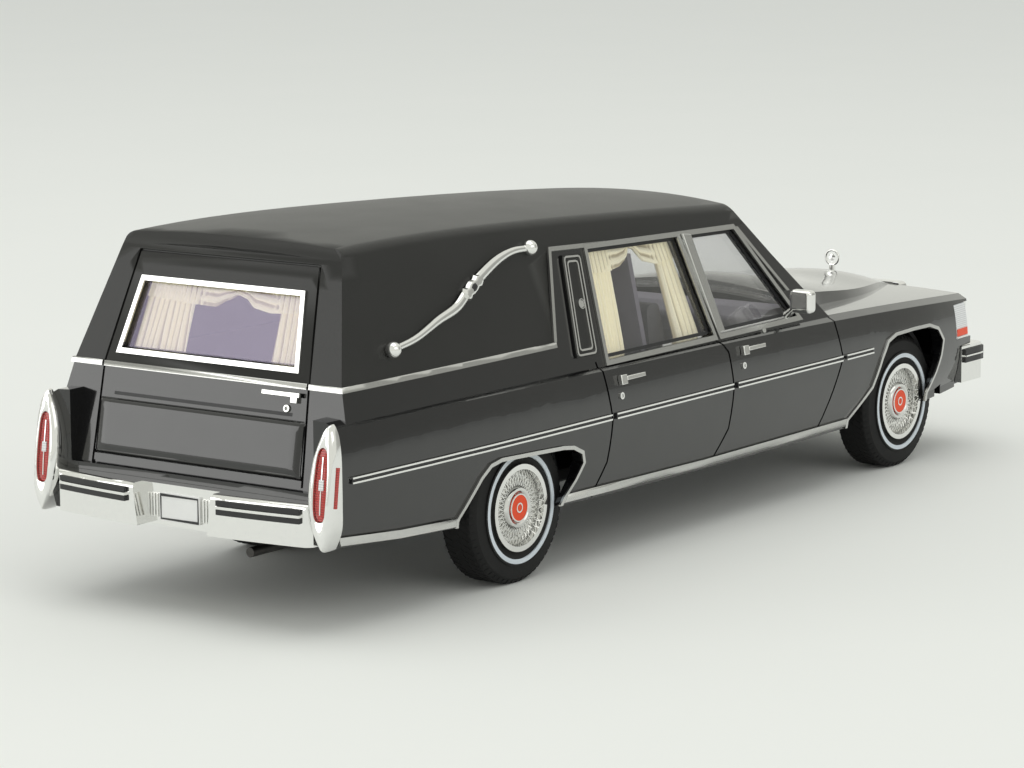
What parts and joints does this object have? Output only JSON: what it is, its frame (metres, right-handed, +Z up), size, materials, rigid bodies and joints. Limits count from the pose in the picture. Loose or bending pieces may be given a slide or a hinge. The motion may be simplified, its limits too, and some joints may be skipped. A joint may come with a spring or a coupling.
{
  "type": "model hearse",
  "caption": "Scale model of a long hearse saloon with a padded landau coach roof, curtained windows, landau bars and rolling whitewall wheels.",
  "frame": {"origin": "on the ground under the middle of the model's length and width", "axes": "+X towards the front of the car, +Y towards its left side, +Z up"},
  "size_m": [0.1453, 0.05, 0.0413],
  "materials": {
    "gloss_black_paint": "gloss",
    "matte_black_vinyl": "grained matte",
    "chassis_black": "satin",
    "exhaust_steel": "dull",
    "interior_grey": "matte",
    "seat_grey": "matte",
    "chrome": "polished",
    "clear_glass": "clear",
    "curtain_cloth": "pleated cloth",
    "black_strip": "matte",
    "red_lens": "clear red",
    "lamp_lens": "clear",
    "plate_white": "blank",
    "tyre_black": "matte",
    "whitewall": "smooth",
    "centre_red": "enamel",
    "axle_steel": "bright"
  },
  "bodies": {
    "body": {"body_shell": "gloss_black_paint", "vinyl_roof": "matte_black_vinyl", "base_plate": "chassis_black", "exhaust": "exhaust_steel", "interior_floor": "interior_grey", "deck_runners": "chrome", "front_seat": "seat_grey", "partition": "interior_grey", "dashboard": "interior_grey", "steering_wheel": "chassis_black", "windscreen": "clear_glass", "front_side_glass": "clear_glass", "rear_side_glass": "clear_glass", "rear_glass": "clear_glass", "side_curtains": "curtain_cloth", "rear_curtain": "curtain_cloth", "side_window_trims": "chrome", "windscreen_trim": "chrome", "rear_window_frame": "chrome", "belt_trim": "chrome", "surround_trims": "chrome", "quarter_trims": "matte_black_vinyl", "landau_bars": "chrome", "side_mouldings": "chrome", "rocker_mouldings": "chrome", "arch_mouldings": "chrome", "door_handles": "chrome", "rear_handle": "chrome", "mirrors": "chrome", "front_bumper": "chrome", "rear_bumper": "chrome", "bumper_strips": "black_strip", "licence_plate": "plate_white", "tail_lamp_bezels": "chrome", "tail_lamp_lenses": "red_lens", "grille": "chrome", "headlamp_bezels": "chrome", "headlamp_lenses": "lamp_lens", "side_lamps": "lamp_lens", "hood_ornament": "chrome"},
    "front_wheelset": {"front_axle": "axle_steel", "front_tyres": "tyre_black", "front_whitewalls": "whitewall", "front_rims": "chrome", "front_wheel_covers": "chrome", "front_hub_centres": "centre_red"},
    "rear_wheelset": {"rear_axle": "axle_steel", "rear_tyres": "tyre_black", "rear_whitewalls": "whitewall", "rear_rims": "chrome", "rear_wheel_covers": "chrome", "rear_hub_centres": "centre_red"}
  },
  "joints": [
    {"name": "front_roll", "type": "hinge", "parent": "body", "child": "front_wheelset", "pos_m": [0.04945, 0, 0.0087], "axis": [0, 1, 0], "continuous": true},
    {"name": "rear_roll", "type": "hinge", "parent": "body", "child": "rear_wheelset", "pos_m": [-0.03595, 0, 0.0087], "axis": [0, 1, 0], "continuous": true}
  ]
}
